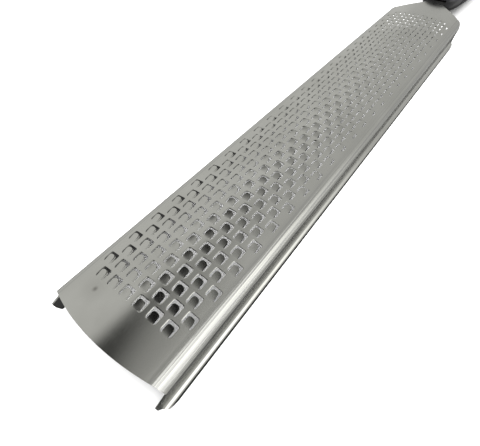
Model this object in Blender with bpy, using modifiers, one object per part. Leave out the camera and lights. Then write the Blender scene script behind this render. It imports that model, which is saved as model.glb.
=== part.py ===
"""Hand-held fine rasp grater.

A strip of thin stainless steel is pierced with staggered rows of teeth, arched across its
width and folded down into a rail along each side.  At the far end it narrows to a tang,
which is clamped inside a moulded handle.

+Y runs from the tip of the blade to the end of the handle, +Z is up, and the tool lies on
its rails and on the flat underside of its handle.
"""
import math

import bmesh
import bpy
from mathutils import Matrix, Vector

MM = 0.001

# Driving dimensions ----------------------------------------------------------------------
OVERALL_LENGTH = 325 * MM
HALF_LENGTH = OVERALL_LENGTH / 2
GAP = 0.3 * MM                      # clearance between neighbouring solids
MERGE = 0.01 * MM
STRAIGHT = 1e-9                     # a bend smaller than this counts as none

# Facets: how finely the round features are divided
FACET_TURN = math.radians(21)       # the blade's bends
SHARP_ANGLE = math.radians(35)      # edges sharper than this are shaded as edges
TIP_FACETS = 8
FILLET_FACETS = 6
ROUNDING_FACETS = 3
PIN_HOLE_SIDES = 12
PIN_SIDES = 16
EYELET_SIDES = 24

# Teeth: a triangular lattice
ROW_PITCH = 3.5 * MM
COLUMN_PITCH = ROW_PITCH * 2 / math.sqrt(3)
TOOTH_ROWS = 49
LONG_ROW = 7                        # teeth in every second row, the others have one fewer
OPENING_WIDTH = 2.6 * MM
OPENING_LENGTH = 2.7 * MM
FIRST_ROW_Y = -HALF_LENGTH + 10.7 * MM

# Blade section, walked outwards along the sheet from the crown
SHEET = 0.5 * MM
BLADE_HEIGHT = 10.9 * MM
CROWN_RADIUS = 72 * MM
FIELD_HALF_WIDTH = 14.45 * MM       # along the sheet, to where the side bend starts
CROWN_FACET = 5.4 * MM              # the arch is faceted at two lines this far from the crown
BEND_RADIUS = 2.9 * MM
WALL_LEAN = math.radians(6)         # the rail's wall leans in below its bend
STEP_ANGLE = math.radians(48)       # the slope of the step that carries the foot outwards
HOLLOW_RADIUS = 1.2 * MM
STEP_LENGTH = 0.35 * MM
KNEE_RADIUS = 0.9 * MM
FOOT_LENGTH = 1.2 * MM

# Blade outline
TIP_SETBACK = 0.5 * MM              # the plate's tip lies this far behind the rails' ends
TIP_SAGITTA = 2.1 * MM
TIP_CHORD = 16.8 * MM
SHOULDER_Y = 25.0 * MM              # far end of the side bends
SHOULDER_SLOPE = 0.93
RAIL_SLANT = 1.04                   # the rails' far ends slope back towards their feet
RELIEF = 0.8 * MM                   # height of the notch between the plate and a rail's nose
NOSE_Z = 5.2 * MM                   # the rails' tip ends are rounded noses
NOSE_HALF_HEIGHT = 5.8 * MM
NOSE_DEPTH = 6.4 * MM
NECK_HALF_WIDTH = 4.0 * MM
NECK_FILLET = 5.0 * MM
TANG_END_Y = 126 * MM
TANG_ROUNDING = 2 * MM

# Handle
HANDLE_START_Y = 39 * MM
HANDLE_END_Y = HALF_LENGTH + 0.32 * MM   # the smoothing draws the rounded end in by as much
BOLSTER_END_Y = 52 * MM
SLEEVE_END_Y = 136 * MM
CORE_START_Y = 47.5 * MM
CORE_END_Y = 141.5 * MM
SLEEVE_WALL = 2.0 * MM
TANG_Z = BLADE_HEIGHT - SHEET / 2
PIN_RADIUS = 1.6 * MM
PIN_HALF_LENGTH = 6.5 * MM
PIN_Y = {"front": 76 * MM, "rear": 112 * MM}
HANG_HOLE_Y = 150.5 * MM
EYELET_BORE = 3.7 * MM
EYELET_TUBE = 4.7 * MM
EYELET_FLANGE = 6.2 * MM
EYELET_Z = 9.4 * MM
EYELET_HALF_HEIGHT = 7.6 * MM
FLANGE_THICKNESS = 0.6 * MM
CUT_REACH = 20 * MM                 # a through cutter's reach to either side of its centre
SLOT_OVERRUN = 5 * MM               # the tang slot's cutter starts this far before the handle

# Handle form: fraction of its length, half width, height above and depth below the tang
HANDLE_STATIONS = (
    (0.00, 7.0 * MM, 4.2 * MM, 5.0 * MM),
    (0.06, 9.6 * MM, 6.4 * MM, 8.6 * MM),
    (0.22, 12.2 * MM, 8.8 * MM, 12.6 * MM),
    (0.50, 13.4 * MM, 10.8 * MM, 13.4 * MM),
    (0.76, 12.2 * MM, 8.9 * MM, 12.8 * MM),
    (0.94, 11.4 * MM, 7.4 * MM, 9.0 * MM),
    (1.00, 8.6 * MM, 4.6 * MM, 5.2 * MM),
)
HANDLE_SIDES = 12

STEEL = ("stainless_steel", (0.62, 0.62, 0.58), 0.28, 1.0)
PIN_STEEL = ("pin_steel", (0.55, 0.55, 0.55), 0.35, 1.0)
HARD_PLASTIC = ("hard_black_plastic", (0.02, 0.02, 0.022), 0.35, 0.0)
CORE_PLASTIC = ("core_plastic", (0.09, 0.09, 0.10), 0.5, 0.0)
SOFT_GRIP = ("soft_grip_rubber", (0.025, 0.025, 0.027), 0.75, 0.0)


# Scene helpers -----------------------------------------------------------------------------
def clear_scene():
    for item in list(bpy.data.objects):
        bpy.data.objects.remove(item, do_unlink=True)


def new_collection(name):
    group = bpy.data.collections.new(name)
    bpy.context.scene.collection.children.link(group)
    return group


def finish_of(spec):
    """A Principled material made once and shared by the pieces that have it."""
    name, colour, roughness, metallic = spec
    made = bpy.data.materials.get(name)
    if made is None:
        made = bpy.data.materials.new(name)
        made.use_nodes = True
        shader = made.node_tree.nodes["Principled BSDF"]
        shader.inputs["Base Color"].default_value = (*colour, 1)
        shader.inputs["Roughness"].default_value = roughness
        shader.inputs["Metallic"].default_value = metallic
        made.diffuse_color = (*colour, 1)
    return made


def object_from_bmesh(bm, name, group, spec=None, smooth=True):
    bmesh.ops.recalc_face_normals(bm, faces=bm.faces)
    mesh = bpy.data.meshes.new(name)
    bm.to_mesh(mesh)
    bm.free()
    if smooth:
        mesh.shade_smooth()
        mesh.set_sharp_from_angle(angle=SHARP_ANGLE)
    piece = bpy.data.objects.new(name, mesh)
    group.objects.link(piece)
    if spec:
        mesh.materials.append(finish_of(spec))
    return piece


def hide_cutter(piece):
    piece.hide_render = True
    piece.display_type = "WIRE"
    return piece


def cut(piece, *cutters):
    for cutter in cutters:
        step = piece.modifiers.new("cut_" + cutter.name, "BOOLEAN")
        step.operation = "DIFFERENCE"
        step.solver = "EXACT"
        step.object = cutter


def slab(bm, axis, low=None, high=None):
    """Keeps the closed form between two planes across an axis, and closes its cut ends."""
    for limit, side in ((low, -1), (high, 1)):
        if limit is None:
            continue
        normal = Vector((0, 0, 0))
        normal[axis] = side
        place = Vector((0, 0, 0))
        place[axis] = limit
        geom = bm.verts[:] + bm.edges[:] + bm.faces[:]
        bmesh.ops.bisect_plane(bm, geom=geom, plane_co=place, plane_no=normal, clear_outer=True)
        rim = [edge for edge in bm.edges if edge.is_boundary]
        bmesh.ops.holes_fill(bm, edges=rim)


def box_mesh(low, high):
    bm = bmesh.new()
    bmesh.ops.create_cube(bm, size=1)
    size = [b - a for a, b in zip(low, high)]
    centre = [(a + b) / 2 for a, b in zip(low, high)]
    bmesh.ops.scale(bm, vec=size, verts=bm.verts)
    bmesh.ops.translate(bm, vec=centre, verts=bm.verts)
    return bm


def upright_cylinder(radius, x, y, low, high, segments, bm=None):
    """A closed cylinder along Z, added to the given mesh or to a new one."""
    bm = bm or bmesh.new()
    made = bmesh.ops.create_cone(bm, cap_ends=True, segments=segments, radius1=radius,
                                 radius2=radius, depth=high - low)
    bmesh.ops.translate(bm, vec=(x, y, (low + high) / 2), verts=made["verts"])
    return bm


# Blade ---------------------------------------------------------------------------------------
FIELD_TURN = FIELD_HALF_WIDTH / CROWN_RADIUS
BEND_TURN = math.pi / 2 + WALL_LEAN - FIELD_TURN
HOLLOW_TURN = math.pi / 2 + WALL_LEAN - STEP_ANGLE
KNEE_TURN = math.pi / 2 - STEP_ANGLE
WALL_DROP = BLADE_HEIGHT - FOOT_LENGTH - STEP_LENGTH * math.sin(STEP_ANGLE) - (
    CROWN_RADIUS * (1 - math.cos(FIELD_TURN))
    + BEND_RADIUS * (math.cos(FIELD_TURN) + math.sin(WALL_LEAN))
    + HOLLOW_RADIUS * (math.cos(STEP_ANGLE) + math.sin(WALL_LEAN))
    + KNEE_RADIUS * math.cos(STEP_ANGLE))

# Stretches of the section: length along the sheet and the angle that it turns downwards
SECTION = (
    (FIELD_HALF_WIDTH, FIELD_TURN),
    (BEND_RADIUS * BEND_TURN, BEND_TURN),
    (WALL_DROP / math.cos(WALL_LEAN), 0.0),
    (HOLLOW_RADIUS * HOLLOW_TURN, -HOLLOW_TURN),
    (STEP_LENGTH, 0.0),
    (KNEE_RADIUS * KNEE_TURN, KNEE_TURN),
    (FOOT_LENGTH, 0.0),
)


def section_point(distance):
    """The place (x, z) on the sheet's outer face at a distance along it from the crown."""
    x, z, angle = 0.0, BLADE_HEIGHT, 0.0
    left = abs(distance)
    for length, turn in SECTION:
        step = min(left, length)
        bend = turn * step / length
        if abs(bend) < STRAIGHT:
            x += step * math.cos(angle)
            z -= step * math.sin(angle)
        else:
            radius = step / bend
            x += radius * (math.sin(angle + bend) - math.sin(angle))
            z += radius * (math.cos(angle + bend) - math.cos(angle))
        angle += bend
        left -= step
    return math.copysign(x, distance), z


def tip_y(distance):
    """The plate's tip edge is a shallow arc across its width."""
    return -HALF_LENGTH + TIP_SETBACK + TIP_SAGITTA * (distance / TIP_CHORD) ** 2


def arc_corner(before, corner, after, radius, steps):
    """Points of the arc that rounds a corner of an outline."""
    corner = Vector(corner)
    back = (Vector(before) - corner).normalized()
    ahead = (Vector(after) - corner).normalized()
    half = back.angle(ahead) / 2
    centre = corner + (back + ahead).normalized() * radius / math.sin(half)
    start = (corner + back * radius / math.tan(half) - centre).normalized()
    end = (corner + ahead * radius / math.tan(half) - centre).normalized()
    return [centre + start.slerp(end, i / steps) * radius for i in range(steps + 1)]


def tang_outline(y):
    """Outline past the last row, from the right end of a straight line across to its left."""
    corner = (FIELD_HALF_WIDTH, SHOULDER_Y)
    neck_y = SHOULDER_Y + (FIELD_HALF_WIDTH - NECK_HALF_WIDTH) * SHOULDER_SLOPE
    neck = (NECK_HALF_WIDTH, neck_y)
    tang = (NECK_HALF_WIDTH, TANG_END_Y)
    right = [(FIELD_HALF_WIDTH, y), corner]
    fillet = arc_corner(corner, neck, tang, NECK_FILLET, FILLET_FACETS)
    rounding = arc_corner(neck, tang, (0, TANG_END_Y), TANG_ROUNDING, ROUNDING_FACETS)
    right += [tuple(point) for point in fillet + rounding]
    return right + [(-x, y) for x, y in reversed(right)]


def tip_outline(y):
    """Outline before the first row, from the left end of a straight line across to its right."""
    across = [FIELD_HALF_WIDTH * (2 * i / TIP_FACETS - 1) for i in range(TIP_FACETS + 1)]
    return [(-FIELD_HALF_WIDTH, y)] + [(s, tip_y(s)) for s in across] + [(FIELD_HALF_WIDTH, y)]


def row_holes(row):
    """The square openings of one row of teeth."""
    count = LONG_ROW if row % 2 else LONG_ROW - 1
    y = FIRST_ROW_Y + row * ROW_PITCH
    low, high = y - OPENING_LENGTH / 2, y + OPENING_LENGTH / 2
    for column in range(count):
        x = (column - (count - 1) / 2) * COLUMN_PITCH
        left, right = x - OPENING_WIDTH / 2, x + OPENING_WIDTH / 2
        yield [(left, low), (left, high), (right, high), (right, low)]


def pin_holes():
    radius = PIN_RADIUS + GAP
    turns = [math.tau * i / PIN_HOLE_SIDES for i in range(PIN_HOLE_SIDES)]
    for y in PIN_Y.values():
        yield [(radius * math.cos(t), y - radius * math.sin(t)) for t in turns]


def add_filled(bm, outlines, group):
    """Adds a flat region to a mesh: its outer outline first, then its holes.

    The curve is drawn in millimetres, because a fill loses detail in very small shapes.
    """
    curve = bpy.data.curves.new("blank", "CURVE")
    curve.dimensions = "2D"
    curve.fill_mode = "FRONT"
    for points in outlines:
        spline = curve.splines.new("POLY")
        spline.points.add(len(points) - 1)
        for slot, (x, y) in zip(spline.points, points):
            slot.co = (x / MM, y / MM, 0, 1)
        spline.use_cyclic_u = True
    guide = bpy.data.objects.new("blank", curve)
    group.objects.link(guide)
    bpy.context.view_layer.update()
    seen = guide.evaluated_get(bpy.context.evaluated_depsgraph_get())
    mesh = bpy.data.meshes.new_from_object(seen)
    mesh.transform(Matrix.Scale(MM, 4))
    bm.from_mesh(mesh)
    bpy.data.meshes.remove(mesh)
    bpy.data.objects.remove(guide)


def flat_field(group):
    """The pierced flat sheet between the side bends, filled one band of teeth at a time."""
    bm = bmesh.new()
    left, right = -FIELD_HALF_WIDTH, FIELD_HALF_WIDTH
    first_line = FIRST_ROW_Y - ROW_PITCH / 2
    last_line = first_line + TOOTH_ROWS * ROW_PITCH
    add_filled(bm, [tip_outline(first_line)], group)
    for row in range(TOOTH_ROWS):
        low = first_line + row * ROW_PITCH
        high = first_line + (row + 1) * ROW_PITCH
        band = [(left, low), (right, low), (right, high), (left, high)]
        add_filled(bm, [band, *row_holes(row)], group)
    add_filled(bm, [tang_outline(last_line), *pin_holes()], group)
    bmesh.ops.remove_doubles(bm, verts=bm.verts, dist=MERGE)
    inner = [v for v in bm.verts if abs(v.co.x) > right - MERGE
             and tip_y(right) + MERGE < v.co.y < SHOULDER_Y - MERGE]
    for vert in inner:
        bmesh.ops.dissolve_verts(bm, verts=[vert])
        bmesh.ops.triangulate(bm, faces=[f for f in bm.faces if len(f.verts) > 3])
    return bm


def rail_lines():
    """Distances along the sheet of the lines that facet a rail, from its bend to its foot."""
    start = FIELD_HALF_WIDTH
    bend_end = start + SECTION[1][0]
    for length, turn in SECTION[1:]:
        if abs(start - bend_end) < MERGE:
            yield start + RELIEF
        steps = max(1, round(abs(turn) / FACET_TURN))
        for step in range(1, steps + 1):
            yield start + length * step / steps
        start += length


def rail_ends(distance):
    """The y of a rail's two ends at a distance along the sheet."""
    x, z = section_point(distance)
    far = SHOULDER_Y - RAIL_SLANT * (section_point(FIELD_HALF_WIDTH)[1] - z)
    if distance <= FIELD_HALF_WIDTH + SECTION[1][0] + MERGE:
        return tip_y(x), far
    off = (z - NOSE_Z) / NOSE_HALF_HEIGHT
    return -HALF_LENGTH + NOSE_DEPTH * (1 - math.sqrt(1 - off * off)), far


def fold_rails(bm):
    """Extends the sheet's two long edges outwards, line by line, to the foot of each rail."""
    for side in (-1, 1):
        line = [v for v in bm.verts if abs(v.co.x * side - FIELD_HALF_WIDTH) < MERGE]
        for reach in rail_lines():
            edges = [e for e in bm.edges if e.is_boundary and set(e.verts) <= set(line)]
            grown = bmesh.ops.extrude_edge_only(bm, edges=edges)["geom"]
            line = [g for g in grown if isinstance(g, bmesh.types.BMVert)]
            tip, far = sorted(line, key=lambda v: v.co.y)
            tip.co.y, far.co.y = rail_ends(reach)
            tip.co.x = far.co.x = side * reach


def make_blade(group):
    bm = flat_field(group)
    for line in (-CROWN_FACET, CROWN_FACET):
        geom = bm.verts[:] + bm.edges[:] + bm.faces[:]
        bmesh.ops.bisect_plane(bm, geom=geom, plane_co=(line, 0, 0), plane_no=(1, 0, 0))
    fold_rails(bm)
    bmesh.ops.triangulate(bm, faces=[f for f in bm.faces if len(f.verts) > 4])
    bmesh.ops.recalc_face_normals(bm, faces=bm.faces)
    if sum(f.normal.z for f in bm.faces) < 0:
        bmesh.ops.reverse_faces(bm, faces=bm.faces)
    for vert in bm.verts:
        x, z = section_point(vert.co.x)
        vert.co = (x, vert.co.y, z)
    mesh = bpy.data.meshes.new("blade")
    bm.to_mesh(mesh)
    bm.free()
    mesh.shade_smooth()
    mesh.set_sharp_from_angle(angle=SHARP_ANGLE)
    mesh.materials.append(finish_of(STEEL))
    blade = bpy.data.objects.new("blade", mesh)
    group.objects.link(blade)
    sheet = blade.modifiers.new("sheet", "SOLIDIFY")
    sheet.thickness = SHEET
    sheet.offset = -1
    sheet.use_even_offset = True
    return blade


# Handle --------------------------------------------------------------------------------------
def handle_form(inset=0.0):
    """The handle's closed outer form, drawn in by an inset, with its flat underside."""
    length = HANDLE_END_Y - HANDLE_START_Y
    bm = bmesh.new()
    bmesh.ops.create_cone(bm, cap_ends=True, segments=HANDLE_SIDES, radius1=1, radius2=1, depth=1)
    bmesh.ops.translate(bm, vec=(0, 0, 0.5), verts=bm.verts)
    for place, *_ in HANDLE_STATIONS[1:-1]:
        geom = bm.verts[:] + bm.edges[:] + bm.faces[:]
        bmesh.ops.bisect_plane(bm, geom=geom, plane_co=(0, 0, place), plane_no=(0, 0, 1))
    for vert in bm.verts:
        across, up, along = vert.co
        place, half_width, above, below = min(HANDLE_STATIONS, key=lambda s: abs(s[0] - along))
        rise = (above if up > 0 else below) - inset
        vert.co = ((half_width - inset) * across, HANDLE_START_Y + place * length,
                   TANG_Z + rise * up)
    bmesh.ops.recalc_face_normals(bm, faces=bm.faces)
    cage = bpy.data.meshes.new("handle_cage")
    bm.to_mesh(cage)
    bm.free()
    guide = bpy.data.objects.new("handle_cage", cage)
    bpy.context.scene.collection.objects.link(guide)
    smooth = guide.modifiers.new("smooth", "SUBSURF")
    smooth.levels = smooth.render_levels = 1
    bpy.context.view_layer.update()
    seen = guide.evaluated_get(bpy.context.evaluated_depsgraph_get())
    mesh = bpy.data.meshes.new_from_object(seen)
    bm = bmesh.new()
    bm.from_mesh(mesh)
    bpy.data.objects.remove(guide)
    slab(bm, 2, low=inset)
    return bm


def make_handle(group, cutters):
    socket_mesh = handle_form(SLEEVE_WALL)
    slab(socket_mesh, 1, CORE_START_Y - GAP, CORE_END_Y + GAP)
    socket = hide_cutter(object_from_bmesh(socket_mesh, "core_socket", cutters))

    slot_half = NECK_HALF_WIDTH + GAP
    slot_mesh = box_mesh((-slot_half, HANDLE_START_Y - SLOT_OVERRUN, TANG_Z - SHEET / 2 - GAP),
                         (slot_half, TANG_END_Y + GAP, TANG_Z + SHEET / 2 + GAP))
    slot = hide_cutter(object_from_bmesh(slot_mesh, "tang_slot", cutters, smooth=False))

    bores_mesh = bmesh.new()
    for y in PIN_Y.values():
        upright_cylinder(PIN_RADIUS + GAP, 0, y, TANG_Z - PIN_HALF_LENGTH - GAP,
                         TANG_Z + PIN_HALF_LENGTH + GAP, PIN_SIDES, bores_mesh)
    bores = hide_cutter(object_from_bmesh(bores_mesh, "pin_bores", cutters))

    bolster_mesh = handle_form()
    slab(bolster_mesh, 1, high=BOLSTER_END_Y)
    bolster = object_from_bmesh(bolster_mesh, "bolster", group, HARD_PLASTIC)
    cut(bolster, socket, slot)

    sleeve_mesh = handle_form()
    slab(sleeve_mesh, 1, BOLSTER_END_Y + GAP, SLEEVE_END_Y)
    sleeve = object_from_bmesh(sleeve_mesh, "grip_sleeve", group, SOFT_GRIP)
    cut(sleeve, socket)

    halves = (("handle_core_lower", None, TANG_Z - GAP / 2),
              ("handle_core_upper", TANG_Z + GAP / 2, None))
    for name, low, high in halves:
        core_mesh = handle_form(SLEEVE_WALL + GAP)
        slab(core_mesh, 1, CORE_START_Y, CORE_END_Y)
        slab(core_mesh, 2, low, high)
        core = object_from_bmesh(core_mesh, name, group, CORE_PLASTIC)
        cut(core, slot, bores)

    for place, y in PIN_Y.items():
        pin_mesh = upright_cylinder(PIN_RADIUS, 0, y, TANG_Z - PIN_HALF_LENGTH,
                                    TANG_Z + PIN_HALF_LENGTH, PIN_SIDES)
        object_from_bmesh(pin_mesh, "tang_pin_" + place, group, PIN_STEEL)
    return socket


def make_end_cap(group, cutters, socket):
    cap_mesh = handle_form()
    slab(cap_mesh, 1, low=SLEEVE_END_Y + GAP)
    cap = object_from_bmesh(cap_mesh, "end_cap", group, HARD_PLASTIC)
    hole_mesh = upright_cylinder(EYELET_TUBE + GAP, 0, HANG_HOLE_Y, EYELET_Z - CUT_REACH,
                                 EYELET_Z + CUT_REACH, EYELET_SIDES)
    hole = hide_cutter(object_from_bmesh(hole_mesh, "hanging_bore", cutters))
    seats_mesh = bmesh.new()
    seat = EYELET_HALF_HEIGHT - FLANGE_THICKNESS - GAP
    for low, high in ((seat, CUT_REACH), (-CUT_REACH, -seat)):
        upright_cylinder(EYELET_FLANGE + GAP, 0, HANG_HOLE_Y, EYELET_Z + low, EYELET_Z + high,
                         EYELET_SIDES, seats_mesh)
    seats = hide_cutter(object_from_bmesh(seats_mesh, "flange_seats", cutters))
    cut(cap, socket, hole, seats)


def make_eyelet(group):
    """A flanged steel tube that lines the hanging hole, turned from its profile."""
    top, under = EYELET_HALF_HEIGHT, EYELET_HALF_HEIGHT - FLANGE_THICKNESS
    profile = [(EYELET_BORE, top), (EYELET_FLANGE, top), (EYELET_FLANGE, under),
               (EYELET_TUBE, under), (EYELET_TUBE, -under), (EYELET_FLANGE, -under),
               (EYELET_FLANGE, -top), (EYELET_BORE, -top)]
    bm = bmesh.new()
    ring = [bm.verts.new((r, 0, z)) for r, z in profile]
    for first, second in zip(ring, ring[1:] + ring[:1]):
        bm.edges.new((first, second))
    mesh = bpy.data.meshes.new("hanging_eyelet")
    bm.to_mesh(mesh)
    bm.free()
    mesh.materials.append(finish_of(PIN_STEEL))
    eyelet = bpy.data.objects.new("hanging_eyelet", mesh)
    eyelet.location = (0, HANG_HOLE_Y, EYELET_Z)
    group.objects.link(eyelet)
    turn = eyelet.modifiers.new("turn", "SCREW")
    turn.axis = "Z"
    turn.steps = turn.render_steps = EYELET_SIDES
    turn.use_merge_vertices = True
    turn.merge_threshold = MERGE
    return eyelet


def main():
    clear_scene()
    parts = new_collection("rasp_grater")
    cutters = new_collection("cutters")
    make_blade(parts)
    socket = make_handle(parts, cutters)
    make_end_cap(parts, cutters, socket)
    make_eyelet(parts)


main()
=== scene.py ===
"""Looks of the hand-held fine rasp grater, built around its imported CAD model.

The blade is remade here as one sheet with every tooth formed, the handle's shells and the
eyelet are remade at a finer surface, and the hidden cores and pins keep their CAD solids.
All sizes are in metres, in the CAD model's frame: +Y runs from the tip to the handle's end.
"""
import math

import bmesh
import bpy
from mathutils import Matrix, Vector


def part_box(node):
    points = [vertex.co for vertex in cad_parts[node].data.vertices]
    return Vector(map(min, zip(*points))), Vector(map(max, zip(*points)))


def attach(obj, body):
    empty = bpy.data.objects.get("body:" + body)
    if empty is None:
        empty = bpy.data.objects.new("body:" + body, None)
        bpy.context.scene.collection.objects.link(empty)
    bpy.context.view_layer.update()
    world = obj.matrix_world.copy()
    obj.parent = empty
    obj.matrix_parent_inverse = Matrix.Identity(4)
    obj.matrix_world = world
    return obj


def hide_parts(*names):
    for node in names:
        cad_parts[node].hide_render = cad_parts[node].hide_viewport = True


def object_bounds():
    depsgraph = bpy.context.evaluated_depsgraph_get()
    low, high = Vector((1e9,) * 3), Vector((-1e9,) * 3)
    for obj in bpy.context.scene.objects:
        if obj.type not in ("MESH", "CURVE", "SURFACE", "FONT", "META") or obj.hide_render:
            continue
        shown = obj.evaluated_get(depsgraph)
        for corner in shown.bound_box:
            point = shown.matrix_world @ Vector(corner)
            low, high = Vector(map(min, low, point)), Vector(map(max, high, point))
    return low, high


MM = 0.001
STRAIGHT = 1e-9                     # a bend smaller than this counts as none
SHARP_ANGLE = math.radians(32)      # edges sharper than this are shaded as edges
WELD = 0.005 * MM                   # vertices closer than this become one

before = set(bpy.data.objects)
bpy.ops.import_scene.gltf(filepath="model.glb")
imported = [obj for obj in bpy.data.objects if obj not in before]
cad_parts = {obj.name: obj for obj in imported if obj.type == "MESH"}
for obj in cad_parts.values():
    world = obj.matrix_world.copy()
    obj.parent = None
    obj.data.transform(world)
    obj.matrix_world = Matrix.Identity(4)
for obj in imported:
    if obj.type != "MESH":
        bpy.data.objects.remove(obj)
CAD_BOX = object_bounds()
BLADE_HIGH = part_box("blade")[1]

# Blade: the driving dimensions that the CAD model has ---------------------------------------
HALF_LENGTH = 162.5 * MM
ROW_PITCH = 3.5 * MM
COLUMN_PITCH = ROW_PITCH * 2 / math.sqrt(3)
TOOTH_ROWS = 49
LONG_ROW = 7                        # teeth in every second row, the others have one fewer
FIRST_ROW_Y = -HALF_LENGTH + 10.7 * MM
SHEET = 0.5 * MM
BLADE_HEIGHT = BLADE_HIGH.z
CROWN_RADIUS = 72 * MM
FIELD_HALF_WIDTH = 14.45 * MM
BEND_RADIUS = 2.9 * MM
WALL_LEAN = math.radians(6)
STEP_ANGLE = math.radians(48)
HOLLOW_RADIUS = 1.2 * MM
STEP_LENGTH = 0.35 * MM
KNEE_RADIUS = 0.9 * MM
FOOT_LENGTH = 1.2 * MM
TIP_SETBACK = 0.5 * MM
TIP_SAGITTA = 2.1 * MM
TIP_CHORD = 16.8 * MM
SHOULDER_Y = 25.0 * MM
SHOULDER_SLOPE = 0.93
RAIL_SLANT = 1.04
RELIEF = 0.8 * MM
NOSE_Z = 5.2 * MM
NOSE_HALF_HEIGHT = 5.8 * MM
NOSE_DEPTH = 6.4 * MM
NECK_HALF_WIDTH = 4.0 * MM
NECK_FILLET = 5.0 * MM
TANG_END_Y = BLADE_HIGH.y

# Teeth: a U-shaped slot round a tongue that is rooted on the tip's side and stands up
CELL_STEPS = 6                      # mesh steps along each side of a tooth's cell
SLOT_HALF_WIDTH = 1.3 * MM
SLOT_HALF_LENGTH = 1.35 * MM
LEG_ROUNDING = 0.45 * MM            # the slot's two legs end round, beside the tongue's root
FAR_ROUNDING = 0.32 * MM
RIM_RINGS = ((0.24 * MM, 0.0), (0.10 * MM, 0.0), (0.0, -0.05 * MM))   # distance out, height
TONGUE_HALF_WIDTH = SLOT_HALF_WIDTH - LEG_ROUNDING
TONGUE_LENGTH = 2.05 * MM
TONGUE_RISE = 0.40 * MM
TONGUE_CURL = 1.45                  # above 1 the tongue steepens from its root to its tip
TONGUE_DISH = 0.02 * MM             # its sides stand higher than its middle by this much
TONGUE_DISH_FROM = 1 / 3            # share of its length from which the dish is full
TONGUE_EDGE = 0.30                  # the etched tongue has this share of the sheet's thickness
TONGUE_TIP = 0.8 * MM               # length of the tongue's rounded end
TONGUE_STRAIGHT_STEPS = 3
TONGUE_TIP_STEPS = 4
TONGUE_TIP_TURN = math.radians(82)  # the rounded end stops short of a point
TONGUE_ROUNDNESS = 2 / 2.5

# Handle: the CAD model's dimensions, then those of the fine surface
GAP = 0.3 * MM
HANDLE_START_Y = 39 * MM
HANDLE_END_Y = HALF_LENGTH + 0.32 * MM
BOLSTER_END_Y = 52 * MM
SLEEVE_START_Y = BOLSTER_END_Y + GAP
SLEEVE_END_Y = 136 * MM
CAP_START_Y = SLEEVE_END_Y + GAP
CORE_START_Y = 47.5 * MM
CORE_END_Y = 141.5 * MM
SLEEVE_WALL = 2.0 * MM
TANG_Z = BLADE_HEIGHT - SHEET / 2
PIN_RADIUS = 1.6 * MM
PIN_Y = (76 * MM, 112 * MM)
HANG_HOLE_Y = 150.5 * MM
EYELET_BORE = 3.7 * MM
EYELET_TUBE = 4.7 * MM
EYELET_FLANGE = 6.2 * MM
EYELET_Z = 9.4 * MM
EYELET_HALF_HEIGHT = 7.6 * MM
FLANGE_THICKNESS = 0.6 * MM
EYELET_LIP = 0.9 * MM               # rounding of the hanging hole's mouths
EYELET_SIDES = 72
ARC_STEPS = 6                       # mesh steps along each quarter turn of the eyelet's profile
CUT_REACH = 20 * MM
SLOT_OVERRUN = 5 * MM               # the tang slot's cutter starts this far before the handle
BORE_SIDES = 48
HANDLE_SIDES = 12
# Fraction of the handle's length, half width, height above and depth below the tang
HANDLE_STATIONS = (
    (0.00, 7.0 * MM, 4.2 * MM, 5.0 * MM),
    (0.06, 9.6 * MM, 6.4 * MM, 8.6 * MM),
    (0.22, 12.2 * MM, 8.8 * MM, 12.6 * MM),
    (0.50, 13.4 * MM, 10.8 * MM, 13.4 * MM),
    (0.76, 12.2 * MM, 8.9 * MM, 12.8 * MM),
    (0.94, 11.4 * MM, 7.4 * MM, 9.0 * MM),
    (1.00, 8.6 * MM, 4.6 * MM, 5.2 * MM),
)
FINE_LEVELS = 3
SOCKET_LEVELS = 1
EDGE_ROUNDING = 0.5 * MM            # the shells' outer edges are rounded by this much
EDGE_TURNS = (22, 45, 68, 90)       # degrees round an edge at which it is divided
GROOVE_PITCH = 3.2 * MM
GROOVE_HALF_WIDTH = 0.75 * MM
GROOVE_DEPTH = 0.45 * MM
GROOVE_LINES = (-1, -0.66, -0.33, 0, 0.33, 0.66, 1)
THUMB_GROOVES = (62 * MM, 8)        # first groove's y, count
FINGER_GROOVES = (104 * MM, 8)
UNDERSIDE_FADE = 3 * MM             # grooves run out towards the flat underside

# Looks: base colours between which a noise mixes, first the one where it is low
STEEL_TONES = (0.585, 0.585, 0.545), (0.64, 0.64, 0.60)
# The inner face's tones are painted shade: kept very dark for the shadow inside the channel
INNER_SHADE_TONES = (0.05, 0.05, 0.05), (0.10, 0.10, 0.098)
PLASTIC_TONES = (0.006, 0.006, 0.007), (0.012, 0.012, 0.013)
RUBBER_TONES = (0.008, 0.008, 0.009), (0.018, 0.018, 0.019)
NYLON_TONES = (0.06, 0.06, 0.065), (0.14, 0.14, 0.145)
TURNED_TONES = (0.56, 0.56, 0.54), (0.66, 0.66, 0.64)
NOISE_RANGE = 0.3, 0.7              # most of a noise's values lie in this range
# Streaks drawn along the rails, which fade in over these distances out and up
STREAK_TONE = (0.44, 0.44, 0.425)
STREAK_RANGE = 0.38, 0.62
STREAKS_FROM_X = 13.2 * MM, 15.4 * MM
STREAKS_FROM_Z = 2.2 * MM, 4.5 * MM
# A spot of tarnish on the plain strip before the first row
TARNISH_PLACE = (-8.3 * MM, FIRST_ROW_Y - 3.4 * MM, BLADE_HEIGHT - 0.5 * MM)
TARNISH_TONE = (0.10, 0.09, 0.075)
TARNISH_RADIUS = 0.9 * MM
TARNISH_DEPTH = 0.5
TARNISH_HALO = 0.5 * MM, 4 * MM
TARNISH_HALO_DEPTH = 0.22

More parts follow.
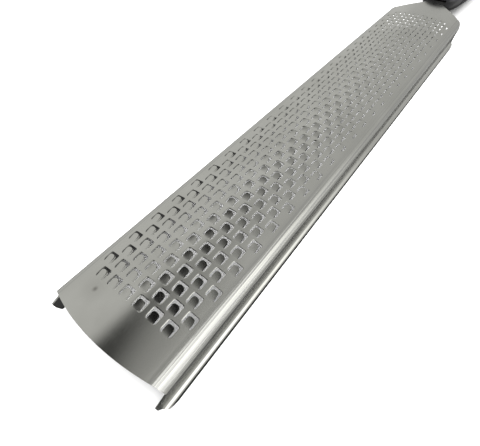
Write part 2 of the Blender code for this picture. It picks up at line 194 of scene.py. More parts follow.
# Stage: the surround's brightness by direction, the floor, the lamp and the camera
HORIZON = 0.02                      # heights under this share of the distance are the horizon
CEILING_LEVEL = 0.52
LEFT_LEVEL = 0.63
WALL_LEVELS = 0.52, 1.95
BELOW_LEVELS = 0.14, 0.01
BESIDE_LEVEL = 0.55
SEEN_LEVEL = 1.0                    # the plain backdrop that the camera sees
WORLD_TONE = (1.0, 1.0, 0.985, 1)
FLOOR_HALF_SIZE = 3.0
FLOOR_DROP = 0.02 * MM
FLOOR_TONE = (0.82, 0.82, 0.82, 1)
LAMP_SIZE = 1.6
LAMP_WATTS = 42
LAMP_PLACE = (0.0, -0.05, 1.3)
CAMERA_LENS = 26.2
CAMERA_SENSOR = 36
CAMERA_SHIFT = -0.0208, -0.0688
CAMERA_NEAR = 0.005
CAMERA_PLACE = (39.01 * MM, -161.86 * MM, 76.62 * MM)
CAMERA_TURN = (42.506, 1.522, 36.942)    # degrees

FIRST_LINE = FIRST_ROW_Y - ROW_PITCH / 2
LAST_LINE = FIRST_LINE + TOOTH_ROWS * ROW_PITCH
LINE_STEP = ROW_PITCH / CELL_STEPS
COLUMN_STEP = COLUMN_PITCH / CELL_STEPS
CELLS_HALF_WIDTH = LONG_ROW * COLUMN_PITCH / 2
TIP_STEPS = 10
TIP_BLEND = 14 * MM                 # the rails' rows bend towards their noses over this length
FAR_BLEND = 16 * MM

FIELD_TURN = FIELD_HALF_WIDTH / CROWN_RADIUS
BEND_TURN = math.pi / 2 + WALL_LEAN - FIELD_TURN
HOLLOW_TURN = math.pi / 2 + WALL_LEAN - STEP_ANGLE
KNEE_TURN = math.pi / 2 - STEP_ANGLE
WALL_DROP = BLADE_HEIGHT - FOOT_LENGTH - STEP_LENGTH * math.sin(STEP_ANGLE) - (
    CROWN_RADIUS * (1 - math.cos(FIELD_TURN))
    + BEND_RADIUS * (math.cos(FIELD_TURN) + math.sin(WALL_LEAN))
    + HOLLOW_RADIUS * (math.cos(STEP_ANGLE) + math.sin(WALL_LEAN))
    + KNEE_RADIUS * math.cos(STEP_ANGLE))
# Stretches of the section from the crown outwards: length, downward turn, mesh steps
SECTION = (
    (FIELD_HALF_WIDTH, FIELD_TURN, 1),
    (BEND_RADIUS * BEND_TURN, BEND_TURN, 10),
    (WALL_DROP / math.cos(WALL_LEAN), 0.0, 3),
    (HOLLOW_RADIUS * HOLLOW_TURN, -HOLLOW_TURN, 5),
    (STEP_LENGTH, 0.0, 1),
    (KNEE_RADIUS * KNEE_TURN, KNEE_TURN, 5),
    (FOOT_LENGTH, 0.0, 2),
)


def section_at(distance):
    """The place (x, z) and the downward slope of the outer face, along it from the crown."""
    x, z, angle = 0.0, BLADE_HEIGHT, 0.0
    left = abs(distance)
    for length, turn, _ in SECTION:
        step = min(left, length)
        bend = turn * step / length
        if abs(bend) < STRAIGHT:
            x += step * math.cos(angle)
            z -= step * math.sin(angle)
        else:
            radius = step / bend
            x += radius * (math.sin(angle + bend) - math.sin(angle))
            z += radius * (math.cos(angle + bend) - math.cos(angle))
        angle += bend
        left -= step
    return math.copysign(x, distance), z, math.copysign(angle, distance)


def on_sheet(distance, y, rise=0.0):
    """The point at a distance along the section and a height over the outer face."""
    x, z, angle = section_at(distance)
    return Vector((x + rise * math.sin(angle), y, z + rise * math.cos(angle)))


def tip_y(distance):
    """The plate's tip edge is a shallow arc across its width."""
    return -HALF_LENGTH + TIP_SETBACK + TIP_SAGITTA * (distance / TIP_CHORD) ** 2


def rail_ends(distance):
    """The y of a rail's two ends at a distance along the section."""
    x, z, _ = section_at(distance)
    far = SHOULDER_Y - RAIL_SLANT * (section_at(FIELD_HALF_WIDTH)[1] - z)
    if distance <= FIELD_HALF_WIDTH + SECTION[1][0] + WELD:
        return tip_y(x), far
    off = (z - NOSE_Z) / NOSE_HALF_HEIGHT
    return -HALF_LENGTH + NOSE_DEPTH * (1 - math.sqrt(1 - off * off)), far


def half_width(y):
    """Half the flat outline's width past the last row: shoulders, fillets, then the tang."""
    if y <= SHOULDER_Y:
        return FIELD_HALF_WIDTH
    slant = math.hypot(SHOULDER_SLOPE, 1)
    centre_x = NECK_HALF_WIDTH + NECK_FILLET
    centre_y = SHOULDER_Y + NECK_FILLET * slant - (centre_x - FIELD_HALF_WIDTH) * SHOULDER_SLOPE
    fillet_start = centre_y - NECK_FILLET / slant
    if y < fillet_start:
        return FIELD_HALF_WIDTH - (y - SHOULDER_Y) / SHOULDER_SLOPE
    if y < centre_y:
        return centre_x - math.sqrt(NECK_FILLET ** 2 - (centre_y - y) ** 2)
    return NECK_HALF_WIDTH


# Blade: mesh ---------------------------------------------------------------------------------
def cell_border(half_x, half_y):
    """Points round a cell's rectangle, from its lower left corner towards +X."""
    turn = ((-half_x, -half_y), (half_x, -half_y), (half_x, half_y), (-half_x, half_y))
    for (x0, y0), (x1, y1) in zip(turn, turn[1:] + turn[:1]):
        for step in range(CELL_STEPS):
            share = step / CELL_STEPS
            yield x0 + (x1 - x0) * share, y0 + (y1 - y0) * share


def slot_ring(out):
    """Points of the slot's outline, moved outwards, that pair with the cell's border."""
    half_x, half_y = SLOT_HALF_WIDTH + out, SLOT_HALF_LENGTH + out
    near, far = LEG_ROUNDING + out, FAR_ROUNDING + out
    corners = ((-1, -1, near), (1, -1, near), (1, 1, far), (-1, 1, far))
    middle = 1 - math.sqrt(0.5)
    for index, (sx, sy, radius) in enumerate(corners):
        nx, ny, next_radius = corners[(index + 1) % 4]
        yield sx * (half_x - radius * middle), sy * (half_y - radius * middle)
        if nx != sx:
            start = sx * (half_x - radius), sy * half_y
            end = nx * (half_x - next_radius), ny * half_y
        else:
            start = sx * half_x, sy * (half_y - radius)
            end = nx * half_x, ny * (half_y - next_radius)
        for step in range(CELL_STEPS - 1):
            share = step / (CELL_STEPS - 2)
            yield start[0] + (end[0] - start[0]) * share, start[1] + (end[1] - start[1]) * share


def tongue_rows():
    """Rows of the tongue from its root: length along it and half width."""
    straight = TONGUE_LENGTH - TONGUE_TIP
    for step in range(1, TONGUE_STRAIGHT_STEPS + 1):
        yield straight * step / TONGUE_STRAIGHT_STEPS, TONGUE_HALF_WIDTH
    for step in range(1, TONGUE_TIP_STEPS + 1):
        angle = TONGUE_TIP_TURN * step / TONGUE_TIP_STEPS
        yield (straight + TONGUE_TIP * math.sin(angle) ** TONGUE_ROUNDNESS,
               TONGUE_HALF_WIDTH * math.cos(angle) ** TONGUE_ROUNDNESS)


def tongue_rise(along, half, across):
    """Height over the sheet: the tongue slopes up from its root, a little hollow across."""
    share = along / TONGUE_LENGTH
    hollow = TONGUE_DISH * (across * half / TONGUE_HALF_WIDTH) ** 2
    return TONGUE_RISE * share ** TONGUE_CURL + hollow * min(1, share / TONGUE_DISH_FROM)


def bridge(bm, outer, inner, closed=True):
    """Quads between two rows of vertices."""
    count = len(outer)
    for index in range(count if closed else count - 1):
        after = (index + 1) % count
        bm.faces.new((outer[index], outer[after], inner[after], inner[index]))


def add_tooth(bm, thickness, centre, y):
    """One cell of sheet: a border, the slot's rounded rim, then the tongue inside it."""
    ring = [bm.verts.new(on_sheet(centre + dx, y + dy))
            for dx, dy in cell_border(COLUMN_PITCH / 2, ROW_PITCH / 2)]
    roots = range(1, CELL_STEPS)
    for out, height in RIM_RINGS:
        inner = [bm.verts.new(on_sheet(centre + dx, y + dy, 0 if index in roots else height))
                 for index, (dx, dy) in enumerate(slot_ring(out))]
        bridge(bm, ring, inner)
        ring = inner
    row = [ring[index] for index in roots]
    for along, half in tongue_rows():
        shares = [2 * index / (len(roots) - 1) - 1 for index in range(len(roots))]
        ahead = [bm.verts.new(on_sheet(centre + share * half, y - SLOT_HALF_LENGTH + along,
                                       tongue_rise(along, half, share))) for share in shares]
        for vert in ahead:
            vert[thickness] = TONGUE_EDGE
        bridge(bm, row, ahead, closed=False)
        row = ahead


def add_grid(bm, columns, rows, place):
    """A plain stretch of sheet: place gives the point for a column and a row."""
    before = None
    for row in rows:
        line = [bm.verts.new(place(column, row)) for column in columns]
        if before:
            bridge(bm, before, line, closed=False)
        before = line
    return before


def field_columns():
    """Distances along the section of the lines that the plain parts of the plate follow."""
    count = LONG_ROW * CELL_STEPS
    inner = [-CELLS_HALF_WIDTH + COLUMN_STEP * index for index in range(count + 1)]
    return [-FIELD_HALF_WIDTH, *inner, FIELD_HALF_WIDTH]


def rail_columns():
    """Distances along the section of the lines that shape a rail, from the field's edge."""
    start = FIELD_HALF_WIDTH
    yield start
    for index, (length, _, steps) in enumerate(SECTION[1:]):
        if index == 1:
            yield start + RELIEF
        for step in range(1, steps + 1):
            yield start + length * step / steps
        start += length


def tip_rows():
    """Shares of the way from the tip's edge to the first line of teeth."""
    return [step / TIP_STEPS for step in range(TIP_STEPS + 1)]


def line_rows(first, last):
    """Evenly spaced y places, about as far apart as the mesh lines of a tooth."""
    count = round((last - first) / LINE_STEP)
    return [first + (last - first) * index / count for index in range(count + 1)]


def add_field(bm, thickness):
    """The plate: its plain tip, the rows of teeth, and a plain margin beside each row."""
    columns = field_columns()
    add_grid(bm, columns, tip_rows(),
             lambda s, share: on_sheet(s, tip_y(s) + (FIRST_LINE - tip_y(s)) * share))
    for row in range(TOOTH_ROWS):
        count = LONG_ROW if row % 2 else LONG_ROW - 1
        y = FIRST_ROW_Y + row * ROW_PITCH
        for column in range(count):
            add_tooth(bm, thickness, (column - (count - 1) / 2) * COLUMN_PITCH, y)
        edge = count * COLUMN_PITCH / 2
        margin = [s for s in columns if s > edge - COLUMN_STEP / 2]
        rows = line_rows(y - ROW_PITCH / 2, y + ROW_PITCH / 2)
        for side in (-1, 1):
            add_grid(bm, [side * s for s in margin], rows, on_sheet)


def add_rails(bm):
    """The folded rails, whose mesh rows lean towards their shaped ends."""
    field_tip = tip_y(FIELD_HALF_WIDTH)
    tip_lines = [field_tip + (FIRST_LINE - field_tip) * share for share in tip_rows()]
    rows = tip_lines[:-1] + line_rows(FIRST_LINE, SHOULDER_Y)

    def place(s, y):
        tip, far = rail_ends(abs(s))
        near_share = max(0.0, 1 - (y - field_tip) / TIP_BLEND)
        far_share = max(0.0, 1 - (SHOULDER_Y - y) / FAR_BLEND)
        return on_sheet(s, y + (tip - field_tip) * near_share + (far - SHOULDER_Y) * far_share)

    for side in (-1, 1):
        add_grid(bm, [side * s for s in rail_columns()], rows, place)


def add_tang(bm):
    """Past the last row: shoulders and neck, then the narrow tang inside the handle."""
    columns = field_columns()
    rows = line_rows(LAST_LINE, SHOULDER_Y) + line_rows(SHOULDER_Y, TANG_END_Y)[1:]
    add_grid(bm, columns, rows,
             lambda s, y: on_sheet(s * half_width(y) / FIELD_HALF_WIDTH, y))


def open_pin_holes(bm):
    """Opens the tang's holes for the pins and draws their rims to round."""
    radius = PIN_RADIUS + GAP
    for y in PIN_Y:
        def off(point):
            return math.hypot(point.x, point.y - y)

        inside = [face for face in bm.faces if off(face.calc_center_median()) < radius]
        bmesh.ops.delete(bm, geom=inside, context="FACES")
        for vert in bm.verts:
            if vert.is_boundary and off(vert.co) < radius + LINE_STEP:
                scale = radius / off(vert.co)
                vert.co = on_sheet(vert.co.x * scale, y + (vert.co.y - y) * scale)


def shaded(mesh):
    """Smooth shading, apart from the mesh's sharp edges."""
    mesh.shade_smooth()
    mesh.set_sharp_from_angle(angle=SHARP_ANGLE)


def finished(bm, name):
    """The mesh as an object, with its sharp edges marked."""
    mesh = bpy.data.meshes.new(name)
    bm.to_mesh(mesh)
    bm.free()
    piece = bpy.data.objects.new(name, mesh)
    bpy.context.scene.collection.objects.link(piece)
    shaded(mesh)
    return piece


def baked(piece):
    """Turns the piece's modifiers into its mesh."""
    bpy.context.view_layer.update()
    seen = piece.evaluated_get(bpy.context.evaluated_depsgraph_get())
    mesh = bpy.data.meshes.new_from_object(seen)
    piece.modifiers.clear()
    piece.data = mesh
    shaded(mesh)
    return piece


def weigh_tongues(blade):
    """A vertex group with the share of the sheet's thickness at each vertex."""
    group = blade.vertex_groups.new(name="thickness")
    shares = blade.data.attributes["thickness"].data
    for index, item in enumerate(shares):
        group.add([index], item.value or 1.0, "REPLACE")
    blade.data.attributes.remove(blade.data.attributes["thickness"])


def make_blade(outer, inner):
    """The whole blade as one sheet, with a material for each of its faces."""
    bm = bmesh.new()
    thickness = bm.verts.layers.float.new("thickness")
    add_field(bm, thickness)
    add_rails(bm)
    add_tang(bm)
    bmesh.ops.remove_doubles(bm, verts=bm.verts, dist=WELD)
    open_pin_holes(bm)
    bmesh.ops.recalc_face_normals(bm, faces=bm.faces)
    if sum(face.normal.z for face in bm.faces) < 0:
        bmesh.ops.reverse_faces(bm, faces=bm.faces)
    blade = finished(bm, "rasp_blade")
    blade.data.materials.append(outer)
    blade.data.materials.append(inner)
    weigh_tongues(blade)
    sheet = blade.modifiers.new("sheet", "SOLIDIFY")
    sheet.thickness = SHEET
    sheet.offset = -1
    sheet.use_even_offset = True
    sheet.vertex_group = "thickness"
    # The inner face takes the second material, whose dark base colour is painted shade
    sheet.material_offset = 1
    return baked(blade)


# Handle: mesh --------------------------------------------------------------------------------
def slab(bm, axis, low=None, high=None):
    """Keeps the closed form between two planes across an axis, and closes its cut ends."""
    for limit, side in ((low, -1), (high, 1)):
        if limit is None:
            continue
        normal = Vector((0, 0, 0))
        normal[axis] = side
        place = Vector((0, 0, 0))
        place[axis] = limit
        geom = bm.verts[:] + bm.edges[:] + bm.faces[:]
        bmesh.ops.bisect_plane(bm, geom=geom, plane_co=place, plane_no=normal, clear_outer=True)
        bmesh.ops.holes_fill(bm, edges=[edge for edge in bm.edges if edge.is_boundary])


def handle_form(levels, inset=0.0):
    """The handle's closed outer form, drawn in by an inset, with its flat underside."""
    length = HANDLE_END_Y - HANDLE_START_Y
    bm = bmesh.new()
    bmesh.ops.create_cone(bm, cap_ends=True, segments=HANDLE_SIDES, radius1=1, radius2=1, depth=1)
    bmesh.ops.translate(bm, vec=(0, 0, 0.5), verts=bm.verts)
    for place, *_ in HANDLE_STATIONS[1:-1]:
        geom = bm.verts[:] + bm.edges[:] + bm.faces[:]
        bmesh.ops.bisect_plane(bm, geom=geom, plane_co=(0, 0, place), plane_no=(0, 0, 1))
    for vert in bm.verts:
        across, up, along = vert.co
        place, half, above, below = min(HANDLE_STATIONS, key=lambda s: abs(s[0] - along))
        rise = (above if up > 0 else below) - inset
        vert.co = ((half - inset) * across, HANDLE_START_Y + place * length, TANG_Z + rise * up)
    bmesh.ops.recalc_face_normals(bm, faces=bm.faces)
    cage = finished(bm, "handle_cage")
    smooth = cage.modifiers.new("smooth", "SUBSURF")
    smooth.levels = smooth.render_levels = levels
    bpy.context.view_layer.update()
    seen = cage.evaluated_get(bpy.context.evaluated_depsgraph_get())
    bm = bmesh.new()
    bm.from_mesh(bpy.data.meshes.new_from_object(seen))
    bpy.data.objects.remove(cage)
    slab(bm, 2, low=inset)
    return bm


def shell(name, start, end, grooves=()):
    """One moulded shell of the handle between two y places, with round edges and grooves."""
    bm = handle_form(FINE_LEVELS)
    slab(bm, 1, start, end)
    rounds = [EDGE_ROUNDING * (1 - math.cos(math.radians(angle))) for angle in EDGE_TURNS]
    lines = [y for out in rounds for y in (start + out, end - out)]
    middles = [first + index * GROOVE_PITCH for first, count in grooves for index in range(count)]
    lines += [middle + share * GROOVE_HALF_WIDTH for middle in middles for share in GROOVE_LINES]
    for y in lines:
        geom = bm.verts[:] + bm.edges[:] + bm.faces[:]
        bmesh.ops.bisect_plane(bm, geom=geom, plane_co=(0, y, 0), plane_no=(0, 1, 0))

    def drawn_in(y):
        """How far the surface lies inside the smooth form at a place along the handle."""
        inside = min(1.0, max(0.0, min(y - start, end - y) / EDGE_ROUNDING))
        edge = EDGE_ROUNDING * (1 - math.sqrt(1 - (1 - inside) ** 2))
        off = min((abs(y - middle) for middle in middles), default=GROOVE_HALF_WIDTH)
        share = min(1.0, off / GROOVE_HALF_WIDTH)
        return max(edge, GROOVE_DEPTH * math.cos(share * math.pi / 2) ** 2)

    for vert in bm.verts:
        fade = min(1.0, max(0.0, vert.co.z / UNDERSIDE_FADE))
        outwards = Vector((vert.co.x, 0, vert.co.z - TANG_Z)).normalized()
        vert.co -= outwards * drawn_in(vert.co.y) * fade
    return finished(bm, name)


def upright_cylinder(bm, radius, y, low, high):
    made = bmesh.ops.create_cone(bm, cap_ends=True, segments=BORE_SIDES, radius1=radius,
                                 radius2=radius, depth=high - low)
    bmesh.ops.translate(bm, vec=(0, y, (low + high) / 2), verts=made["verts"])


def box_mesh(low, high):
    bm = bmesh.new()
    bmesh.ops.create_cube(bm, size=1)
    bmesh.ops.scale(bm, vec=[b - a for a, b in zip(low, high)], verts=bm.verts)
    bmesh.ops.translate(bm, vec=[(a + b) / 2 for a, b in zip(low, high)], verts=bm.verts)
    return bm


def cut(piece, *cutters):
    """Cuts the closed meshes out of a piece."""
    for index, bm in enumerate(cutters):
        cutter = finished(bm, f"cutter_{index}")
        step = piece.modifiers.new("cut", "BOOLEAN")
        step.operation = "DIFFERENCE"
        step.solver = "EXACT"
        step.object = cutter
        baked(piece)
        bpy.data.objects.remove(cutter)
    return piece


def core_socket():
    """The room inside the shells that holds the core halves."""
    bm = handle_form(SOCKET_LEVELS, SLEEVE_WALL)
    slab(bm, 1, CORE_START_Y - GAP, CORE_END_Y + GAP)
    return bm


def make_bolster():
    half = NECK_HALF_WIDTH + GAP
    slot = box_mesh((-half, HANDLE_START_Y - SLOT_OVERRUN, TANG_Z - SHEET / 2 - GAP),
                    (half, TANG_END_Y, TANG_Z + SHEET / 2 + GAP))
    return cut(shell("handle_bolster", HANDLE_START_Y, BOLSTER_END_Y), core_socket(), slot)


def make_sleeve():
    sleeve = shell("soft_grip_sleeve", SLEEVE_START_Y, SLEEVE_END_Y,
                   (THUMB_GROOVES, FINGER_GROOVES))
    return cut(sleeve, core_socket())


def make_cap():
    hole = bmesh.new()
    upright_cylinder(hole, EYELET_TUBE + GAP, HANG_HOLE_Y, -CUT_REACH, CUT_REACH + EYELET_Z)
    seats = bmesh.new()
    seat = EYELET_HALF_HEIGHT - FLANGE_THICKNESS - GAP
    for low, high in ((seat, CUT_REACH), (-CUT_REACH, -seat)):
        upright_cylinder(seats, EYELET_FLANGE + GAP, HANG_HOLE_Y, EYELET_Z + low, EYELET_Z + high)
    return cut(shell("handle_end_cap", CAP_START_Y, HANDLE_END_Y), core_socket(), hole, seats)


def make_eyelet():
    """A flanged steel tube that lines the hanging hole, turned from a rounded profile."""
    top, under = EYELET_HALF_HEIGHT, EYELET_HALF_HEIGHT - FLANGE_THICKNESS
    lip = EYELET_LIP
    turns = [math.pi / 2 * step / ARC_STEPS for step in range(ARC_STEPS + 1)]
    mouth = [(EYELET_BORE + lip * (1 - math.cos(a)), top - lip * (1 - math.sin(a))) for a in turns]
    edge = FLANGE_THICKNESS / 2
    rim = [(EYELET_FLANGE - edge + edge * math.sin(2 * a), top - edge + edge * math.cos(2 * a))
           for a in turns]
    upper = mouth + rim + [(EYELET_TUBE, under)]
    profile = upper + [(r, -z) for r, z in reversed(upper)]
    bm = bmesh.new()
    ring = [bm.verts.new((r, 0, z)) for r, z in profile]
    edges = [bm.edges.new(pair) for pair in zip(ring, ring[1:] + ring[:1])]
    bmesh.ops.spin(bm, geom=ring + edges, axis=(0, 0, 1), cent=(0, 0, 0), angle=math.tau,
                   steps=EYELET_SIDES, use_merge=True)
    bmesh.ops.remove_doubles(bm, verts=bm.verts, dist=WELD)
    bmesh.ops.recalc_face_normals(bm, faces=bm.faces)
    bmesh.ops.translate(bm, vec=(0, HANG_HOLE_Y, EYELET_Z), verts=bm.verts)
    return finished(bm, "steel_eyelet")


# Materials -----------------------------------------------------------------------------------
class Nodes:
    """A small helper that adds and links the nodes of one tree."""

    def __init__(self, tree):
        self.tree = tree

    def add(self, kind, links=None, **settings):
        node = self.tree.nodes.new(kind)
        for key, value in settings.items():
            setattr(node, key, value)
        for socket, value in (links or {}).items():
            self.feed(node.inputs[socket], value)
        return node

    def feed(self, socket, value):
        """Links another node's output to a socket, or sets a plain value on it."""
        if isinstance(value, bpy.types.NodeSocket):
            self.tree.links.new(value, socket)
        else:
            socket.default_value = value

    def math(self, operation, *values):
        return self.add("ShaderNodeMath", dict(enumerate(values)), operation=operation).outputs[0]

    def ramp(self, value, low, high, to_low=0.0, to_high=1.0):
        node = self.add("ShaderNodeMapRange", {0: value, 1: low, 2: high, 3: to_low, 4: to_high},
                        interpolation_type="SMOOTHSTEP")
        return node.outputs[0]

    def blend(self, share, first, second):
        """A number: the first where the share is 0, the second where it is 1."""
        return self.add("ShaderNodeMix", {0: share, 2: first, 3: second}).outputs[0]

    def mix(self, share, first, second):
        """A colour, mixed in the same way from colours given as three numbers or as outputs."""
        first, second = (value if isinstance(value, bpy.types.NodeSocket) else (*value, 1)
                         for value in (first, second))
        return self.add("ShaderNodeMix", {0: share, 6: first, 7: second},
                        data_type="RGBA").outputs[2]


class Surface(Nodes):
    """A new material, with the nodes that its looks are made of."""

    def __init__(self, name):
        self.material = bpy.data.materials.new(name)
        self.material.use_nodes = True
        super().__init__(self.material.node_tree)
        self.shader = self.tree.nodes["Principled BSDF"]

    def set(self, socket, value):
        self.feed(self.shader.inputs[socket], value)

    def place(self, scale=(1, 1, 1)):
        """Object coordinates in metres, stretched."""
        source = self.add("ShaderNodeTexCoord").outputs["Object"]
        return self.add("ShaderNodeMapping", {"Vector": source, "Scale": scale}).outputs[0]

    def noise(self, scale, detail=3.0, roughness=0.5):
        """Noise with this many waves to the metre along each axis."""
        links = {"Vector": self.place(scale), "Scale": 1.0, "Detail": detail,
                 "Roughness": roughness}
        return self.add("ShaderNodeTexNoise", links).outputs[0]

    def spread(self, noise, to_low, to_high):
        """A noise's usual values spread over a range."""
        return self.ramp(noise, *NOISE_RANGE, to_low, to_high)

    def bump(self, height, distance, strength, normal=None):
        links = {"Height": height, "Distance": distance, "Strength": strength}
        if normal:
            links["Normal"] = normal
        return self.add("ShaderNodeBump", links).outputs[0]


def blade_steel():
    """Satin rolled sheet: fine cloudiness on the plate, drawn streaks on the folded rails."""
    n = Surface("satin_steel")
    n.set("Metallic", 1.0)
    x, _, z = n.add("ShaderNodeSeparateXYZ", {0: n.place()}).outputs
    off_field = n.math("MULTIPLY", n.ramp(n.math("ABSOLUTE", x), *STREAKS_FROM_X),
                       n.ramp(z, *STREAKS_FROM_Z))
    cloud = n.noise((90, 60, 90), detail=4)
    grain = n.noise((2600, 900, 2600), detail=2)
    streak = n.noise((1900, 7, 1900), detail=4, roughness=0.7)
    plate = n.mix(n.spread(cloud, 0.0, 1.0), *STEEL_TONES)
    lines = n.math("MULTIPLY", n.ramp(streak, *STREAK_RANGE, 1.0, 0.0), off_field)
    away = n.add("ShaderNodeVectorMath", {0: n.place(), 1: TARNISH_PLACE},
                 operation="DISTANCE").outputs["Value"]
    halo = n.math("MULTIPLY", n.ramp(away, *TARNISH_HALO, TARNISH_HALO_DEPTH, 0.0), cloud)
    stain = n.math("ADD", n.ramp(away, 0.0, TARNISH_RADIUS, TARNISH_DEPTH, 0.0), halo)
    plate = n.mix(stain, plate, TARNISH_TONE)
    n.set("Base Color", n.mix(lines, plate, STREAK_TONE))
    wobble = n.math("MULTIPLY", n.math("SUBTRACT", grain, 0.5), 0.05)
    n.set("Roughness", n.math("ADD", n.spread(cloud, 0.19, 0.145), wobble))
    fine = n.bump(grain, 0.004 * MM, 0.15)
    drawn = n.math("MULTIPLY", streak, off_field)
    n.set("Normal", n.bump(drawn, 0.14 * MM, 0.8, fine))
    return n.material


def inner_steel_with_painted_shade():
    """The sheet's inner face: dull and cloudy, and kept very dark as painted shade for the shadow
    inside the channel.
    """
    n = Surface("inner_steel_painted_shade")
    n.set("Metallic", 1.0)
    cloud = n.noise((160, 60, 160), detail=4)
    grain = n.noise((2200, 2200, 2200), detail=2)
    # Painted shade: a very dark base colour stands in for the shadow on the sheet's inner face
    n.set("Base Color", n.mix(cloud, *INNER_SHADE_TONES))
    n.set("Roughness", n.spread(cloud, 0.34, 0.46))
    n.set("Normal", n.bump(grain, 0.02 * MM, 0.3))
    return n.material


def moulded_plastic():
    """Hard black plastic with the fine spark texture of its mould."""
    n = Surface("hard_plastic")
    spark = n.noise((3600, 3600, 3600), detail=2)
    cloud = n.noise((120, 120, 120))
    n.set("Base Color", n.mix(cloud, *PLASTIC_TONES))
    n.set("Roughness", n.spread(cloud, 0.30, 0.40))
    n.set("Normal", n.bump(spark, 0.02 * MM, 0.35))
    return n.material


def soft_rubber():
    """Soft-touch black rubber, pebbled all over."""
    n = Surface("soft_grip")
    pebble = n.add("ShaderNodeTexVoronoi", {"Vector": n.place((1500, 1500, 1500)), "Scale": 1.0})
    dome = n.ramp(pebble.outputs["Distance"], 0.0, 0.65, 1.0, 0.0)
    cloud = n.noise((70, 70, 70), detail=4)
    n.set("Base Color", n.mix(cloud, *RUBBER_TONES))
    n.set("Specular IOR Level", 0.4)
    n.set("Roughness", n.spread(cloud, 0.62, 0.78))
    n.set("Normal", n.bump(dome, 0.06 * MM, 0.5))
    return n.material


def core_nylon():
    """Grey glass-filled nylon with short pale fibres."""
    n = Surface("core_nylon")
    fibre = n.noise((900, 220, 900), detail=4, roughness=0.65)
    n.set("Base Color", n.mix(n.ramp(fibre, 0.35, 0.7), *NYLON_TONES))
    n.set("Roughness", n.spread(fibre, 0.45, 0.6))
    n.set("Normal", n.bump(fibre, 0.02 * MM, 0.4))
    return n.material


def turned_steel(name):
    """Bright turned steel: fine rings round an upright axis."""
    n = Surface(name)
    n.set("Metallic", 1.0)
    rings = n.noise((300, 300, 5200), detail=2)
    cloud = n.noise((260, 260, 260))
    n.set("Base Color", n.mix(cloud, *TURNED_TONES))
    n.set("Roughness", n.spread(rings, 0.20, 0.32))
    n.set("Normal", n.bump(rings, 0.008 * MM, 0.5))
    return n.material


# Stage ---------------------------------------------------------------------------------------
def make_floor():
    bm = bmesh.new()
    bmesh.ops.create_grid(bm, x_segments=1, y_segments=1, size=FLOOR_HALF_SIZE)
    floor = finished(bm, "floor")
    floor.location.z = CAD_BOX[0].z - FLOOR_DROP
    floor.visible_glossy = False
    n = Surface("floor_paper")
    n.set("Base Color", FLOOR_TONE)
    n.set("Roughness", 0.9)
    n.set("Specular IOR Level", 0.0)
    floor.data.materials.append(n.material)


def make_light():
    lamp = bpy.data.lights.new("overhead", "AREA")
    lamp.shape = "DISK"
    lamp.size = LAMP_SIZE
    lamp.energy = LAMP_WATTS
    light = bpy.data.objects.new("overhead", lamp)
    bpy.context.scene.collection.objects.link(light)
    light.location = LAMP_PLACE
    light.visible_glossy = False
    light.visible_camera = False


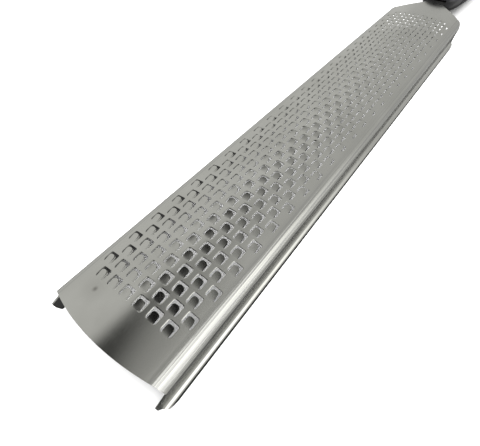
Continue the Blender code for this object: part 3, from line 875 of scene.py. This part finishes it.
def make_world():
    """A soft studio surround: pale, brighter on the right, darker over the photographer."""
    world = bpy.data.worlds.new("studio")
    world.use_nodes = True
    bpy.context.scene.world = world
    n = Nodes(world.node_tree)
    direction = n.add("ShaderNodeTexCoord").outputs["Generated"]
    dx, dy, dz = n.add("ShaderNodeSeparateXYZ", {0: direction}).outputs
    height = n.math("MAXIMUM", dz, HORIZON)
    slope_x = n.math("DIVIDE", dx, height)
    slope_y = n.math("DIVIDE", dy, height)

    # Overhead: pale on the left and ahead, dark over the photographer with a slanted edge
    slant = n.math("ADD", slope_y, n.math("MULTIPLY", n.math("ADD", slope_x, 0.33), 1.2))
    opening = n.math("ADD", n.ramp(slant, -0.12, 0.34, 0.0, 0.65),
                     n.ramp(slant, 0.2, 1.0, 0.0, 0.35))
    ceiling = n.math("MULTIPLY", opening, CEILING_LEVEL)
    boundary = n.math("SUBTRACT", slope_x, n.math("MULTIPLY", slope_y, 0.2))
    shade = n.math("MULTIPLY", n.ramp(boundary, -0.62, -0.46), n.ramp(slope_y, -1.1, -0.7))
    upper = n.blend(shade, LEFT_LEVEL, ceiling)

    # The right side: a bright wall that fades forwards and ends just under the horizon
    level = n.math("SQRT", n.math("SUBTRACT", 1.0, n.math("MULTIPLY", dz, dz)))
    side = n.math("DIVIDE", dx, n.math("MAXIMUM", level, HORIZON))
    wall = n.ramp(side, 0.6, 1.04, *WALL_LEVELS)
    edge = n.math("ADD", slope_x, n.math("MULTIPLY", slope_y, 0.35))
    lit = n.blend(n.ramp(edge, -0.02, 0.22), upper, wall)

    # Under the horizon: dark straight below, pale to both sides
    depth = n.math("MAXIMUM", n.math("MULTIPLY", dz, -1.0), HORIZON)
    out = n.math("DIVIDE", dx, depth)
    pale = n.math("MAXIMUM", n.ramp(out, 0.42, 0.66), n.ramp(out, -0.25, -0.35))
    under = n.blend(pale, n.ramp(out, 0.14, 0.24, *BELOW_LEVELS), BESIDE_LEVEL)
    near_wall = n.math("MULTIPLY", n.ramp(dz, -0.2, -HORIZON), n.ramp(side, 0.0, 0.2))
    low = n.blend(near_wall, under, wall)
    whole = n.blend(n.ramp(dz, -HORIZON, HORIZON), low, lit)

    seen = n.add("ShaderNodeLightPath").outputs["Is Camera Ray"]
    background = n.tree.nodes["Background"]
    n.feed(background.inputs["Strength"], n.blend(seen, whole, SEEN_LEVEL))
    n.feed(background.inputs["Color"], WORLD_TONE)


def make_camera():
    lens = bpy.data.cameras.new("camera")
    lens.lens = CAMERA_LENS
    lens.sensor_width = CAMERA_SENSOR
    lens.shift_x, lens.shift_y = CAMERA_SHIFT
    lens.clip_start = CAMERA_NEAR
    camera = bpy.data.objects.new("camera", lens)
    bpy.context.scene.collection.objects.link(camera)
    camera.location = CAMERA_PLACE
    camera.rotation_euler = [math.radians(angle) for angle in CAMERA_TURN]
    bpy.context.scene.camera = camera


# Build ---------------------------------------------------------------------------------------
def dress(piece, material, *, nodes=()):
    """Puts a piece on the root body, in place of CAD nodes, with its material."""
    if material:
        piece.data.materials.clear()
        piece.data.materials.append(material)
    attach(piece, "root")
    if nodes:
        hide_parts(*nodes)


dress(make_blade(blade_steel(), inner_steel_with_painted_shade()), None, nodes=["blade"])
plastic = moulded_plastic()
dress(make_bolster(), plastic, nodes=["bolster"])
dress(make_cap(), plastic, nodes=["end_cap"])
dress(make_sleeve(), soft_rubber(), nodes=["grip_sleeve"])
dress(make_eyelet(), turned_steel("eyelet_steel"), nodes=["hanging_eyelet"])
nylon = core_nylon()
pin_steel = turned_steel("pin_steel")
for name, material in (("handle_core_lower", nylon), ("handle_core_upper", nylon),
                       ("tang_pin_front", pin_steel), ("tang_pin_rear", pin_steel)):
    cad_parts[name].data.materials.clear()
    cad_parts[name].data.materials.append(material)
make_floor()
make_light()
make_world()
make_camera()
bpy.context.scene.view_settings.view_transform = "Standard"
